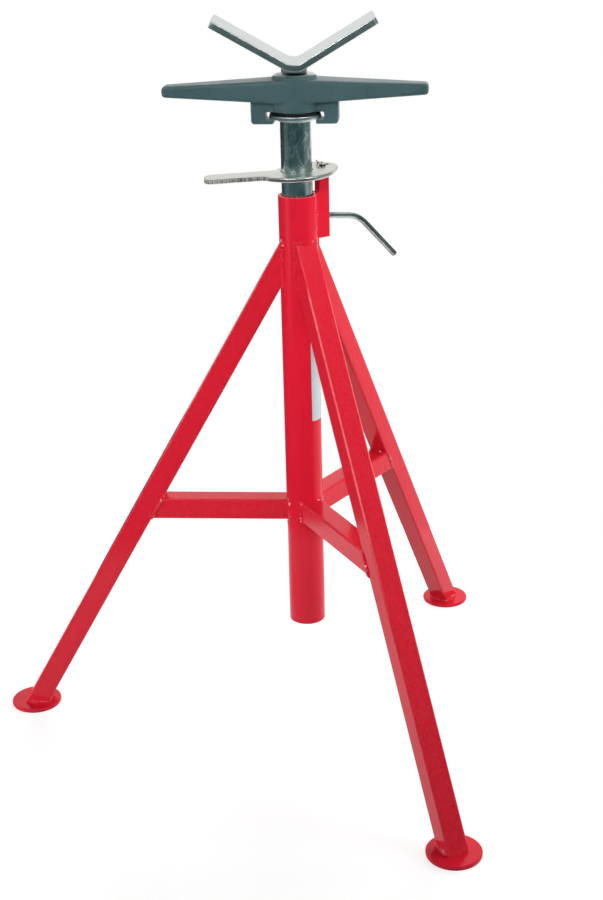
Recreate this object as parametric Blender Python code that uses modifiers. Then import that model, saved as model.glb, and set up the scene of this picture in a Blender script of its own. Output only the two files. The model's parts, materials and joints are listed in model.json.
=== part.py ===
"""V-head pipe stand: a welded tripod, a sliding inner tube with a friction lock lever,
and a screw jack that carries a V saddle. Metres, +Z up, origin on the floor under the
tube's axis, pipes lie along Y in the saddle."""

import math

import bmesh
import bpy
from mathutils import Matrix, Vector

NAME = "v_head_pipe_stand"

# Clearances
GAP = 0.0003
THREAD_CLEAR = 0.0003
SCREW_CLEAR = 0.00095
SLIDE_CLEAR = 0.00115

# Jack screw
SCREW_OD = 0.0254
SCREW_LENGTH = 0.150
SCREW_TIP_CHAMFER = 0.003
STEM_OD = 0.028
STEM_HEIGHT = 0.0050
STEM_REST_GAP = 0.0008

# Inner tube with its flange
STAFF_WALL = 0.0032
STAFF_INSET = 0.0484
STAFF_SHOWN = 0.0825
FLANGE_RIM = 0.01115
FLANGE_THICK = 0.0045
WELD_LEG = 0.0038
WELD_HOLLOW = 0.0013
WASHER_INSET = 0.0008
WASHER_THICK = 0.0024

# Main tube
TUBE_WALL = 0.0032
TUBE_BOTTOM = 0.1236
TUBE_TOP = 0.6385

# Legs, braces and feet
LEG_TURN = -4.44
LEG_ANGLES = {"left": 180.0, "back": 60.0, "front": -60.0}
LEG_REACH = 0.3427
LEG_APEX_DROP = 0.0425
LEG_SIDE = 0.025
LEG_WALL = 0.0025
LEG_CORNER = 0.003
LEG_INNER_CORNER = 0.0006
BRACE_HEIGHT = 0.2692
BRACE_SIDE = 0.025
BRACE_WALL = 0.0025
BRACE_CORNER = 0.003
BRACE_INNER_CORNER = 0.0006
FOOT_DIAMETER = 0.0605
FOOT_THICK = 0.005
FOOT_EDGE = 0.0012

# Lock post
POST_ANGLE = 32.0
POST_WIDTH = 0.0168
POST_THICK = 0.0098
POST_LAP = 0.0515
POST_NOTCH = 0.003
POST_RELIEF = 0.0041
TONGUE_WIDTH = 0.0058
TONGUE_THICK = 0.005
TONGUE_STAND = 0.0044

# Lock lever
LEVER_RISE = 0.0238
LEVER_DROOP = 2.3
LEVER_LIFT = 4.6
LEVER_THICK = 0.005
LEVER_RIM = 0.0242
LEVER_WEB = 0.006
LEVER_CREST = 100.0
LEVER_HOLE_CLEAR = 0.0008
LEVER_ANGLE = 183.0
LEVER_REACH = 0.1005
LEVER_NEAR = 0.021
LEVER_FAR = 0.008
LEVER_FILLET = 0.014
LEVER_CORNER = 0.009
EAR_REACH = 0.008
EAR_RADIUS = 0.024
SLOT_CLEAR = 0.0005
SLOT_SLACK = 0.009

# Cotter pin
PIN_WIRE = 0.0016
PIN_CLEAR = 0.0003
PIN_TAIL_OUT = 0.0025
PIN_TAIL_RISE = 0.0035
PIN_EYE = 0.0022
PIN_EYE_START = -20.0
PIN_EYE_END = -280.0

# Clamp screw
CLAMP_ROD = 0.0070
CLAMP_DROP = 0.0290
CLAMP_NECK = 0.003
CLAMP_ARM = 0.032
CLAMP_SAG = 8.0
CLAMP_BEND = 0.019
CLAMP_TAIL_ANGLE = 46.0
CLAMP_TAIL = 0.066

# Turn handle
HANDLE_YAW = -5.0
HUB_WALL = 0.011
HUB_HEIGHT = 0.039
HUB_EDGE = 0.003
WING_SPAN = 0.284
WING_MID = 0.0219
WING_ROOT_HEIGHT = 0.0256
WING_TIP_HEIGHT = 0.0115
WING_ROOT_DEPTH = 0.049
WING_TIP_DEPTH = 0.023
WING_EDGE = 0.0035
HOOK_CLEAR = 0.0033
HOOK_WALL = 0.0155
HOOK_DEPTH = 0.022
HOOK_CORNER = 0.004
LIP_THICK = 0.005
LIP_CLEAR = 0.0058

# V saddle
SADDLE_THICK = 0.0070
SADDLE_WIDTH = 0.076
SADDLE_HALF_SPAN = 0.0845
SADDLE_ANGLE = 30.0
SADDLE_BEND = 0.016
SADDLE_CORNER = 0.005

# Facets
ROUND_STEPS = 48
ROD_STEPS = 32
HOLE_STEPS = 24
PIN_STEPS = 12
CORNER_STEPS = 3
ARC_STEP = 7.5
SHARP_ANGLE = 30.0
RIM_ANGLE = 60.0
MERGE = 0.00001
BIG = 0.5

# Radii that follow from each other, from the screw outwards
screw_radius = SCREW_OD / 2
bore_radius = screw_radius + SCREW_CLEAR
staff_radius = bore_radius + STAFF_WALL
tube_bore = staff_radius + SLIDE_CLEAR
tube_radius = tube_bore + TUBE_WALL
flange_radius = staff_radius + FLANGE_RIM
hub_bore = screw_radius + THREAD_CLEAR
hub_radius = hub_bore + HUB_WALL

# Heights that follow from each other, from the main tube upwards
staff_bottom = TUBE_BOTTOM + STAFF_INSET
flange_bottom = TUBE_TOP + STAFF_SHOWN
flange_top = flange_bottom + FLANGE_THICK
washer_bottom = flange_top + GAP
hub_bottom = washer_bottom + WASHER_THICK + GAP
hub_top = hub_bottom + HUB_HEIGHT
stem_bottom = hub_top + STEM_REST_GAP
saddle_under = stem_bottom + STEM_HEIGHT
saddle_floor = saddle_under + SADDLE_THICK

# The legs' middle lines meet on the tube's axis
leg_apex = TUBE_TOP - LEG_APEX_DROP
leg_lean = math.atan2(LEG_REACH, leg_apex)
leg_length = math.hypot(LEG_REACH, leg_apex)

# The lock lever hangs on the post's tongue
post_bottom = TUBE_TOP - POST_LAP
lever_axis_height = TUBE_TOP + LEVER_RISE
lever_slope = math.radians(LEVER_DROOP)
post_inner = tube_radius + GAP
post_outer = post_inner + POST_WIDTH
pivot_radius = (post_inner + post_outer) / 2
tongue_in = pivot_radius - TONGUE_WIDTH / 2
tongue_out = pivot_radius + TONGUE_WIDTH / 2
pivot_height = lever_axis_height + pivot_radius * math.tan(lever_slope)
lever_disc = staff_radius + LEVER_RIM
lever_hole = staff_radius + LEVER_HOLE_CLEAR
clamp_height = TUBE_TOP - CLAMP_DROP


def clear_scene():
    for obj in list(bpy.data.objects):
        bpy.data.objects.remove(obj, do_unlink=True)


def new_collection(name):
    collection = bpy.data.collections.new(name)
    bpy.context.scene.collection.children.link(collection)
    return collection


def paint(name, colour, roughness, metallic):
    material = bpy.data.materials.new(name)
    material.use_nodes = True
    shader = material.node_tree.nodes["Principled BSDF"]
    shader.inputs["Base Color"].default_value = (*colour, 1.0)
    shader.inputs["Roughness"].default_value = roughness
    shader.inputs["Metallic"].default_value = metallic
    return material


def place(obj, collection):
    collection.objects.link(obj)
    return obj


def finish_part(obj, look):
    """A named sub-part with its own material, round faces shaded smooth."""
    obj.data.materials.append(paint(obj.name + "_finish", *look))
    if obj.type == "MESH":
        obj.data.shade_smooth()
        obj.data.set_sharp_from_angle(angle=math.radians(SHARP_ANGLE))
    return place(obj, parts)


def finish_cutter(obj):
    obj.hide_render = True
    obj.display_type = "WIRE"
    return place(obj, cutters)


def arc(centre, radius, start, end):
    """Points on a circle from one angle to another, in degrees, both ends included."""
    count = max(2, math.ceil(abs(end - start) / ARC_STEP))
    points = []
    for i in range(count + 1):
        turn = math.radians(start + (end - start) * i / count)
        points.append((centre[0] + radius * math.cos(turn), centre[1] + radius * math.sin(turn)))
    return points


def polar(radius, degrees):
    turn = math.radians(degrees)
    return (radius * math.cos(turn), radius * math.sin(turn))


def rounded_box(width, height, corner):
    """Outline of a rectangle with round corners, about its centre."""
    x = width / 2 - corner
    y = height / 2 - corner
    points = []
    for i, centre in enumerate(((x, y), (-x, y), (-x, -y), (x, -y))):
        for j in range(CORNER_STEPS + 1):
            dx, dy = polar(corner, 90.0 * (i + j / CORNER_STEPS))
            points.append((centre[0] + dx, centre[1] + dy))
    return points


def mesh_object(name, build):
    """An object whose mesh is made by build(bm)."""
    bm = bmesh.new()
    build(bm)
    mesh = bpy.data.meshes.new(name)
    bm.to_mesh(mesh)
    bm.free()
    return bpy.data.objects.new(name, mesh)


def turned(name, profile, steps=ROUND_STEPS):
    """A profile of (radius, height) points, down its outer side, turned about Z.

    It starts and ends on the axis, or else is closed into a ring."""
    mesh = bpy.data.meshes.new(name)
    count = len(profile)
    edges = [(i, i + 1) for i in range(count - 1)]
    if profile[0][0] > 0.0:
        edges.append((count - 1, 0))
    mesh.from_pydata([(r, 0.0, z) for r, z in profile], edges, [])
    obj = bpy.data.objects.new(name, mesh)
    screw = obj.modifiers.new("turn", "SCREW")
    screw.steps = steps
    screw.render_steps = steps
    screw.use_merge_vertices = True
    screw.merge_threshold = MERGE
    screw.use_smooth_shade = True
    return obj


def ring_profile(inner, outer, bottom, top):
    return [(outer, top), (outer, bottom), (inner, bottom), (inner, top)]


def rod_between(name, radius, start, end, steps=HOLE_STEPS):
    """A closed cylinder between two points."""
    start = Vector(start)
    run = Vector(end) - start
    frame = run.to_track_quat("Z", "Y").to_matrix().to_4x4()
    frame.translation = start + run / 2

    def build(bm):
        bmesh.ops.create_cone(bm, cap_ends=True, segments=steps, radius1=radius,
                              radius2=radius, depth=run.length)

    obj = mesh_object(name, build)
    obj.matrix_world = frame
    return obj


def block(name, low, high):
    """A box between two corners."""
    low = Vector(low)
    size = Vector(high) - low

    def build(bm):
        bmesh.ops.create_cube(bm, size=1.0)
        bmesh.ops.scale(bm, vec=size, verts=bm.verts)
        bmesh.ops.translate(bm, vec=low + size / 2, verts=bm.verts)

    return mesh_object(name, build)


def plate(name, outlines, thickness):
    """A flat outline, with holes, given thickness along its own Z, as a mesh."""
    curve = bpy.data.curves.new(name, "CURVE")
    curve.dimensions = "2D"
    curve.fill_mode = "BOTH"
    curve.extrude = thickness / 2
    for outline in outlines:
        spline = curve.splines.new("POLY")
        spline.points.add(len(outline) - 1)
        for point, (x, y) in zip(spline.points, outline):
            point.co = (x, y, 0.0, 1.0)
        spline.use_cyclic_u = True
    drawn = bpy.data.objects.new(name + "_outline", curve)
    place(drawn, cutters)
    bpy.context.view_layer.update()
    depsgraph = bpy.context.evaluated_depsgraph_get()
    mesh = bpy.data.meshes.new_from_object(drawn.evaluated_get(depsgraph))
    bpy.data.objects.remove(drawn, do_unlink=True)
    bm = bmesh.new()
    bm.from_mesh(mesh)
    bmesh.ops.remove_doubles(bm, verts=bm.verts, dist=MERGE)
    bmesh.ops.recalc_face_normals(bm, faces=bm.faces)
    bm.to_mesh(mesh)
    bm.free()
    mesh.name = name
    return bpy.data.objects.new(name, mesh)


def wire(name, points, radius):
    """A round bar along a path, with closed ends."""
    curve = bpy.data.curves.new(name, "CURVE")
    curve.dimensions = "3D"
    curve.bevel_depth = radius
    curve.bevel_resolution = 2
    curve.use_fill_caps = True
    spline = curve.splines.new("POLY")
    spline.points.add(len(points) - 1)
    for point, co in zip(spline.points, points):
        point.co = (*co, 1.0)
    return bpy.data.objects.new(name, curve)


def boolean(obj, other, operation):
    modifier = obj.modifiers.new(other.name, "BOOLEAN")
    modifier.operation = operation
    modifier.object = other
    modifier.solver = "EXACT"


def cut(obj, other):
    boolean(obj, other, "DIFFERENCE")


def join(obj, other):
    boolean(obj, other, "UNION")


def upright(angle, origin=(0.0, 0.0, 0.0)):
    """Frame with X along the radius at this angle, Y up and Z across it."""
    turn = math.radians(angle)
    frame = Matrix.Rotation(turn, 4, "Z") @ Matrix.Rotation(math.pi / 2, 4, "X")
    frame.translation = Vector(origin)
    return frame


RED = ((0.62, 0.012, 0.030), 0.35, 0.0)
ZINC = ((0.62, 0.66, 0.66), 0.28, 1.0)
DARK_ZINC = ((0.30, 0.36, 0.37), 0.30, 1.0)
CAST_PAINT = ((0.085, 0.130, 0.135), 0.42, 0.0)
STEEL = ((0.42, 0.44, 0.45), 0.35, 1.0)


# Base weldment

def main_tube(clamp_hole):
    tube = turned("main_tube", ring_profile(tube_bore, tube_radius, TUBE_BOTTOM, TUBE_TOP))
    cut(tube, clamp_hole)
    return finish_part(tube, RED)


def leg_frame(angle):
    """Frame at the foot with Z up the leg and Y across the leg's vertical plane."""
    lean = Matrix.Rotation(-leg_lean, 4, "Y")
    frame = Matrix.Rotation(math.radians(angle + LEG_TURN), 4, "Z")
    frame = frame @ Matrix.Translation((LEG_REACH, 0.0, 0.0)) @ lean
    return frame


def square_bar(name, side, corner, length, wall=None, inner_corner=None):
    """Square tube, or solid bar, from the frame's origin along its Z."""
    outlines = [rounded_box(side, side, corner)]
    if wall:
        inside = side - 2 * wall
        outlines.append(rounded_box(inside, inside, inner_corner))
    bar = plate(name, outlines, length)
    bar.data.transform(Matrix.Translation((0.0, 0.0, length / 2)))
    return bar


def tube_cutter():
    tube = rod_between("tube_room", tube_radius + GAP, (0, 0, -BIG), (0, 0, 2 * BIG), ROUND_STEPS)
    return finish_cutter(tube)


def floor_cutter():
    top = FOOT_THICK + GAP
    return finish_cutter(block("foot_room", (-BIG, -BIG, -BIG), (BIG, BIG, top)))


def leg(side, angle, tube_room, foot_room):
    below = LEG_SIDE
    bar = square_bar("leg_" + side, LEG_SIDE, LEG_CORNER, leg_length + below,
                     LEG_WALL, LEG_INNER_CORNER)
    bar.matrix_world = leg_frame(angle) @ Matrix.Translation((0.0, 0.0, -below))
    cut(bar, tube_room)
    cut(bar, foot_room)
    return finish_part(bar, RED)


def leg_cutter(side, angle):
    around = LEG_SIDE + 2 * GAP
    bar = square_bar("leg_room_" + side, around, LEG_CORNER, leg_length)
    bar.matrix_world = leg_frame(angle)
    return finish_cutter(bar)


def brace(side, angle, tube_room):
    reach = LEG_REACH - BRACE_HEIGHT * math.tan(leg_lean)
    bar = square_bar("brace_" + side, BRACE_SIDE, BRACE_CORNER, reach,
                     BRACE_WALL, BRACE_INNER_CORNER)
    turn = Matrix.Rotation(math.radians(angle + LEG_TURN), 4, "Z")
    rise = Matrix.Translation((0.0, 0.0, BRACE_HEIGHT))
    bar.matrix_world = turn @ rise @ Matrix.Rotation(math.pi / 2, 4, "Y")
    cut(bar, tube_room)
    cut(bar, leg_cutter(side, angle))
    return finish_part(bar, RED)


def foot(side, angle):
    def build(bm):
        bmesh.ops.create_cone(bm, cap_ends=True, segments=ROUND_STEPS, radius1=FOOT_DIAMETER / 2,
                              radius2=FOOT_DIAMETER / 2, depth=FOOT_THICK)

    disc = mesh_object("foot_" + side, build)
    disc.location = (*polar(LEG_REACH, angle + LEG_TURN), FOOT_THICK / 2)
    bevel = disc.modifiers.new("edge", "BEVEL")
    bevel.width = FOOT_EDGE
    bevel.segments = 1
    bevel.limit_method = "ANGLE"
    bevel.angle_limit = math.radians(RIM_ANGLE)
    return finish_part(disc, RED)


# Lock

def clamp_cutter():
    start = (*polar(bore_radius / 2, POST_ANGLE), clamp_height)
    end = (*polar(post_outer + BIG, POST_ANGLE), clamp_height)
    hole = rod_between("clamp_hole", CLAMP_ROD / 2 + THREAD_CLEAR, start, end)
    return finish_cutter(hole)


def post_top():
    """Level of the post's shoulders, clear of the lever as it tilts both ways."""
    under = pivot_height - LEVER_THICK / 2 / math.cos(lever_slope)
    tilt = math.radians(max(LEVER_DROOP, LEVER_LIFT - LEVER_DROOP))
    return under - POST_WIDTH / 2 * math.tan(tilt) - GAP


def pin_height():
    above = pivot_height + LEVER_THICK / 2 / math.cos(lever_slope)
    return above + PIN_WIRE / 2 + PIN_CLEAR


def tongue_cheek(side, tongue_top):
    """Room beside the tongue, down to the post's shoulders."""
    low = (tube_bore, side * (TONGUE_THICK + POST_THICK) / 2 - POST_THICK / 2, post_top())
    high = (post_outer + POST_WIDTH, low[1] + POST_THICK, tongue_top + POST_WIDTH)
    name = "tongue_cheek_near" if side < 0 else "tongue_cheek_far"
    cheek = block(name, low, high)
    cheek.rotation_euler = (0.0, 0.0, math.radians(POST_ANGLE))
    return finish_cutter(cheek)


def lock_post(clamp_hole):
    tongue_top = pivot_height + LEVER_THICK / 2 + TONGUE_STAND
    relief = post_inner + POST_RELIEF
    outline = [
        (post_inner + POST_NOTCH, post_bottom),
        (post_outer, post_bottom),
        (post_outer, post_top()),
        (tongue_out, post_top()),
        (tongue_out, tongue_top),
        (tongue_in, tongue_top),
        (tongue_in, post_top()),
        (relief, post_top()),
        (relief, TUBE_TOP),
        (post_inner, TUBE_TOP),
        (post_inner, post_bottom + POST_NOTCH),
    ]
    post = plate("lock_post", [outline], POST_THICK)
    post.matrix_world = upright(POST_ANGLE)
    cut(post, clamp_hole)
    for side in (-1, 1):
        cut(post, tongue_cheek(side, tongue_top))
    across = Vector((*polar(POST_THICK, POST_ANGLE + 90), 0.0))
    middle = Vector((*polar(pivot_radius, POST_ANGLE), pin_height()))
    hole = rod_between("pin_hole", PIN_WIRE / 2 + PIN_CLEAR, middle - across, middle + across,
                       PIN_STEPS)
    cut(post, finish_cutter(hole))
    return finish_part(post, RED)


def lever_outline():
    """Disc with an ear over the post at 0 degrees and an offset handle, about the tube's axis.

    The disc's far side is trimmed straight down to the handle's far edge."""
    handle = LEVER_ANGLE - POST_ANGLE

    def beside(along, across):
        x, y = polar(along, handle)
        dx, dy = polar(across, handle + 90)
        return (x + dx, y + dy)

    ear = lever_disc + EAR_REACH - EAR_RADIUS
    swing = math.degrees(math.acos((lever_disc - EAR_RADIUS) / ear))
    blend = math.degrees(math.asin((LEVER_NEAR + LEVER_FILLET) / (lever_disc + LEVER_FILLET)))
    points = arc((ear, 0.0), EAR_RADIUS, -swing, swing)
    points += arc((0.0, 0.0), lever_disc, swing, LEVER_CREST - POST_ANGLE)[1:]
    points.append(beside(lever_hole + LEVER_WEB, -LEVER_FAR))
    end = LEVER_REACH - LEVER_CORNER
    points += arc(beside(end, LEVER_CORNER - LEVER_FAR), LEVER_CORNER, handle - 90, handle)
    points += arc(beside(end, LEVER_NEAR - LEVER_CORNER), LEVER_CORNER, handle, handle + 90)
    fillet = polar(lever_disc + LEVER_FILLET, handle + blend)
    points += arc(fillet, LEVER_FILLET, handle + 270, handle + blend + 180)
    points += arc((0.0, 0.0), lever_disc, handle + blend, 360 - swing)[1:-1]
    return points


def slot_outline():
    """Slot over the post's tongue, longer than the tongue on its outer side."""
    half = TONGUE_THICK / 2 + SLOT_CLEAR
    inner = tongue_in - SLOT_CLEAR
    outer = tongue_out + SLOT_SLACK
    return [(inner, -half), (outer, -half), (outer, half), (inner, half)]


def lock_lever():
    middle = (-pivot_radius / math.cos(lever_slope), 0.0)
    outlines = []
    for outline in (lever_outline(), arc((0.0, 0.0), lever_hole, 0, 360)[:-1], slot_outline()):
        outlines.append([(x + middle[0], y) for x, y in outline])
    lever = plate("lock_lever", outlines, LEVER_THICK)
    lever.location = (*polar(pivot_radius, POST_ANGLE), pivot_height)
    lever.rotation_euler = (0.0, -lever_slope, math.radians(POST_ANGLE))
    return finish_part(lever, ZINC)


def cotter_pin():
    """Wire through the tongue: a level open eye on one side, a turned-up tail on the other."""
    reach = TONGUE_THICK / 2 + PIN_WIRE
    path = [(0.0, reach + PIN_TAIL_OUT, PIN_TAIL_RISE)]
    path.append((0.0, reach, 0.0))
    path.append((0.0, -reach, 0.0))
    for y, x in arc((-reach - PIN_EYE, 0.0), PIN_EYE, PIN_EYE_START, PIN_EYE_END):
        path.append((x, y, 0.0))
    pin = wire("cotter_pin", path, PIN_WIRE / 2)
    pin.data.bevel_resolution = 1
    pin.location = (*polar(pivot_radius, POST_ANGLE), pin_height())
    pin.rotation_euler = (0.0, 0.0, math.radians(POST_ANGLE))
    return finish_part(pin, STEEL)


def clamp_screw():
    """Bent bar that threads through the post and tube wall and stops on the inner tube."""
    start = staff_radius + GAP
    neck = post_outer + CLAMP_NECK
    path = [(start, 0.0), (neck, 0.0)]
    sag = math.radians(CLAMP_SAG)
    tail = math.radians(CLAMP_TAIL_ANGLE)
    bend_x = neck + CLAMP_ARM * math.cos(sag)
    bend_z = -CLAMP_ARM * math.sin(sag)
    centre = (bend_x - CLAMP_BEND * math.sin(sag), bend_z - CLAMP_BEND * math.cos(sag))
    path += arc(centre, CLAMP_BEND, 90 - CLAMP_SAG, 90 - CLAMP_TAIL_ANGLE)
    end_x, end_z = path[-1]
    path.append((end_x + CLAMP_TAIL * math.cos(tail), end_z - CLAMP_TAIL * math.sin(tail)))
    rod = wire("clamp_screw", [(x, 0.0, z) for x, z in path], CLAMP_ROD / 2)
    rod.location = (0.0, 0.0, clamp_height)
    rod.rotation_euler = (0.0, 0.0, math.radians(POST_ANGLE))
    return finish_part(rod, ZINC)


# Sliding inner tube

def inner_tube():
    top = flange_bottom - GAP
    staff = turned("inner_tube", ring_profile(bore_radius, staff_radius, staff_bottom, top))
    return finish_part(staff, ZINC)


def tube_flange():
    profile = ring_profile(bore_radius, flange_radius, flange_bottom, flange_top)
    return finish_part(turned("tube_flange", profile), ZINC)


def flange_weld():
    """Fillet weld in the corner between the inner tube and the flange."""
    inner = staff_radius + GAP
    top = flange_bottom - GAP
    profile = [
        (inner + WELD_LEG, top),
        (inner + WELD_HOLLOW, top - WELD_HOLLOW),
        (inner, top - WELD_LEG),
        (inner, top),
    ]
    return finish_part(turned("flange_weld", profile), DARK_ZINC)


def thrust_washer():
    top = washer_bottom + WASHER_THICK
    profile = ring_profile(bore_radius, flange_radius - WASHER_INSET, washer_bottom, top)
    return finish_part(turned("thrust_washer", profile), STEEL)


# Screw jack

def wing(side):
    """Half of the cross bar, tapering from the hub's middle out to one tip."""
    reach = WING_SPAN / 2
    middle = hub_bottom + WING_MID
    name = "wing_right" if side > 0 else "wing_left"
    stations = (
        (0.0, WING_ROOT_DEPTH, WING_ROOT_HEIGHT),
        (reach, WING_TIP_DEPTH, WING_TIP_HEIGHT),
    )

    def build(bm):
        rings = []
        for x, depth, height in stations:
            corners = ((-1, -1), (1, -1), (1, 1), (-1, 1))
            rings.append([bm.verts.new((side * x, y * depth / 2, middle + z * height / 2))
                          for y, z in corners])
        for near, far in zip(rings, rings[1:]):
            for i in range(4):
                bm.faces.new((near[i - 1], near[i], far[i], far[i - 1]))
        bm.faces.new(rings[0])
        bm.faces.new(rings[-1])
        bmesh.ops.recalc_face_normals(bm, faces=bm.faces)

    bar = mesh_object(name, build)
    bevel = bar.modifiers.new("edge", "BEVEL")
    bevel.width = WING_EDGE
    bevel.segments = 2
    return finish_cutter(bar)


def hook(side):
    """Hook under one wing: a block beside the hub, slotted for the flange, with a lip below it."""
    slot_end = flange_radius + HOOK_CLEAR
    outer = slot_end + HOOK_WALL
    lip = staff_radius + LIP_CLEAR
    lip_top = flange_bottom - GAP
    bottom = lip_top - LIP_THICK
    top = hub_bottom + WING_MID
    corner = (outer - HOOK_CORNER, bottom + HOOK_CORNER)
    outline = [(lip, bottom)]
    outline += arc(corner, HOOK_CORNER, 270, 360)
    outline += [(outer, top), (hub_bore, top), (hub_bore, hub_bottom), (slot_end, hub_bottom)]
    outline += [(slot_end, lip_top), (lip, lip_top)]
    shape = plate("hook_right" if side > 0 else "hook_left", [outline], HOOK_DEPTH)
    shape.matrix_world = upright(0.0 if side > 0 else 180.0)
    return finish_cutter(shape)


def turn_handle():
    profile = [
        (0.0, hub_top),
        (hub_radius - HUB_EDGE, hub_top),
        (hub_radius, hub_top - HUB_EDGE),
        (hub_radius, hub_bottom),
        (0.0, hub_bottom),
    ]
    hub = turned("turn_handle", profile)
    bore_end = HUB_HEIGHT
    bore = rod_between("hub_bore", hub_bore, (0.0, 0.0, hub_bottom - bore_end),
                       (0.0, 0.0, hub_top + bore_end), ROUND_STEPS)
    for side in (-1, 1):
        for limb in (wing(side), hook(side)):
            limb.matrix_world = Matrix.Rotation(math.radians(HANDLE_YAW), 4, "Z") @ limb.matrix_world
            join(hub, limb)
    cut(hub, finish_cutter(bore))
    return finish_part(hub, CAST_PAINT)


def saddle_tip():
    """Outer end of the V's upper face on the +X side, as (x, z)."""
    start = Vector(polar(SADDLE_BEND, SADDLE_ANGLE - 90)) + Vector((0.0, saddle_floor + SADDLE_BEND))
    rise = (SADDLE_HALF_SPAN - start.x) * math.tan(math.radians(SADDLE_ANGLE))
    return Vector((SADDLE_HALF_SPAN, start.y + rise))


def saddle_under_side(depth):
    """The V's upper face moved down into the bar by this depth, from -X to +X."""
    tip = saddle_tip() + Vector(polar(depth, SADDLE_ANGLE - 90))
    centre = (0.0, saddle_floor + SADDLE_BEND)
    points = [(-tip.x, tip.y)]
    points += arc(centre, SADDLE_BEND + depth, 270 - SADDLE_ANGLE, 270 + SADDLE_ANGLE)
    points.append((tip.x, tip.y))
    return points


def v_saddle():
    under = saddle_under_side(SADDLE_THICK)
    section = under + saddle_under_side(0.0)[::-1]
    saddle = plate("v_saddle", [section], 2 * SADDLE_WIDTH)
    saddle.matrix_world = upright(0.0)
    length = 2 * under[-1][0]
    plan = plate("saddle_plan", [rounded_box(length, SADDLE_WIDTH, SADDLE_CORNER)], BIG)
    plan.location = (0.0, 0.0, saddle_floor)
    boolean(saddle, finish_cutter(plan), "INTERSECT")
    return finish_part(saddle, ZINC)


def jack_screw():
    """Screw with the stem that the saddle is welded on, its top coped to the V."""
    stem_radius = STEM_OD / 2
    stem_top = saddle_under + STEM_OD
    screw_bottom = stem_bottom - SCREW_LENGTH
    profile = [
        (0.0, stem_top),
        (stem_radius, stem_top),
        (stem_radius, stem_bottom),
        (screw_radius, stem_bottom),
        (screw_radius, screw_bottom + SCREW_TIP_CHAMFER),
        (screw_radius - SCREW_TIP_CHAMFER, screw_bottom),
        (0.0, screw_bottom),
    ]
    screw = turned("jack_screw", profile, ROD_STEPS)
    under = saddle_under_side(SADDLE_THICK + GAP)
    above = under[-1][1] + STEM_OD
    section = under + [(under[-1][0], above), (under[0][0], above)]
    room = plate("saddle_room", [section], 2 * SADDLE_WIDTH)
    room.matrix_world = upright(0.0)
    cut(screw, finish_cutter(room))
    return finish_part(screw, STEEL)


def main():
    clamp_hole = clamp_cutter()
    main_tube(clamp_hole)
    tube_room = tube_cutter()
    foot_room = floor_cutter()
    for side, angle in LEG_ANGLES.items():
        leg(side, angle, tube_room, foot_room)
        brace(side, angle, tube_room)
        foot(side, angle)
    lock_post(clamp_hole)
    lock_lever()
    cotter_pin()
    clamp_screw()
    inner_tube()
    tube_flange()
    flange_weld()
    thrust_washer()
    turn_handle()
    jack_screw()
    v_saddle()


clear_scene()
parts = new_collection(NAME)
cutters = new_collection("cutters")
main()
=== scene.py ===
import json
from math import acos, asin, atan2, ceil, cos, degrees, pi, radians, sin, sqrt, tan

import bmesh
import bpy
from mathutils import Matrix, Vector, noise

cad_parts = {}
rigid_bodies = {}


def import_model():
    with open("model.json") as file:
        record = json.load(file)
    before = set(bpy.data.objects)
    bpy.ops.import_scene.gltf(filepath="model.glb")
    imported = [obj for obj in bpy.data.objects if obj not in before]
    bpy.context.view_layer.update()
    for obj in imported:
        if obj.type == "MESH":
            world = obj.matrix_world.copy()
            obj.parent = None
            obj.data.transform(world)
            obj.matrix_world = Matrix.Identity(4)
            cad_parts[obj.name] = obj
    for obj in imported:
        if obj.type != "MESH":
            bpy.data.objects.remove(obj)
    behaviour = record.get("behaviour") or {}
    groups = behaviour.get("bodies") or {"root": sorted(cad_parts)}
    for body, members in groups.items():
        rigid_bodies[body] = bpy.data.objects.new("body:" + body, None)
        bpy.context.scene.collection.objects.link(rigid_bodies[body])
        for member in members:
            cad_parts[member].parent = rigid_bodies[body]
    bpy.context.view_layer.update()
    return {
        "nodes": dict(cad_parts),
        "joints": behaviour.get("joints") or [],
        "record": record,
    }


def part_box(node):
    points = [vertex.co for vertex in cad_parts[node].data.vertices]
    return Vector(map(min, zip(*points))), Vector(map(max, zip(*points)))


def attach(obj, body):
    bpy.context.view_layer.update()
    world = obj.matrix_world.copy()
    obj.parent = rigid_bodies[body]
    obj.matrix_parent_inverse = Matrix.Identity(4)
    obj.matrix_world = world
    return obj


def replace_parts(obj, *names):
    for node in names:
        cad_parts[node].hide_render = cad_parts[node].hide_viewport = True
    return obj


# start from an empty scene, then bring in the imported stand
for leftover in list(bpy.data.objects):
    bpy.data.objects.remove(leftover)
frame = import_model()
scene = bpy.context.scene
mountPlace = {m["name"]: Vector(m["pos_m"]) for m in frame["record"]["mounts"]}
jointOf = {j["name"]: j for j in frame["joints"]}
print("frame loaded:", len(frame["nodes"]), "nodes")


# mesh tools

def polar(radius, angle, height=0.0):
    turn = radians(angle)
    return Vector((radius * cos(turn), radius * sin(turn), height))


def upBy(height):
    return Vector((0.0, 0.0, height))


def addObject(name, data):
    made = bpy.data.objects.new(name, data)
    scene.collection.objects.link(made)
    return made


def meshFrom(name, bm, material):
    mesh = bpy.data.meshes.new(name)
    bm.to_mesh(mesh)
    bm.free()
    mesh.materials.append(material)
    return mesh


smoothAll = 180.0  # a piece with no sharp crease


def addPiece(name, bm, body, material, sharpAngle=35.0):
    bmesh.ops.recalc_face_normals(bm, faces=bm.faces)
    mesh = meshFrom(name, bm, material)
    mesh.shade_smooth()
    mesh.set_sharp_from_angle(angle=radians(sharpAngle))
    piece = addObject(name, mesh)
    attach(piece, body)
    return piece


def flatShading(piece):
    # big flats stay flat beside the small rounds
    flats = piece.modifiers.new("flats", "WEIGHTED_NORMAL")
    flats.keep_sharp = True
    flats.weight = 80


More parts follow.
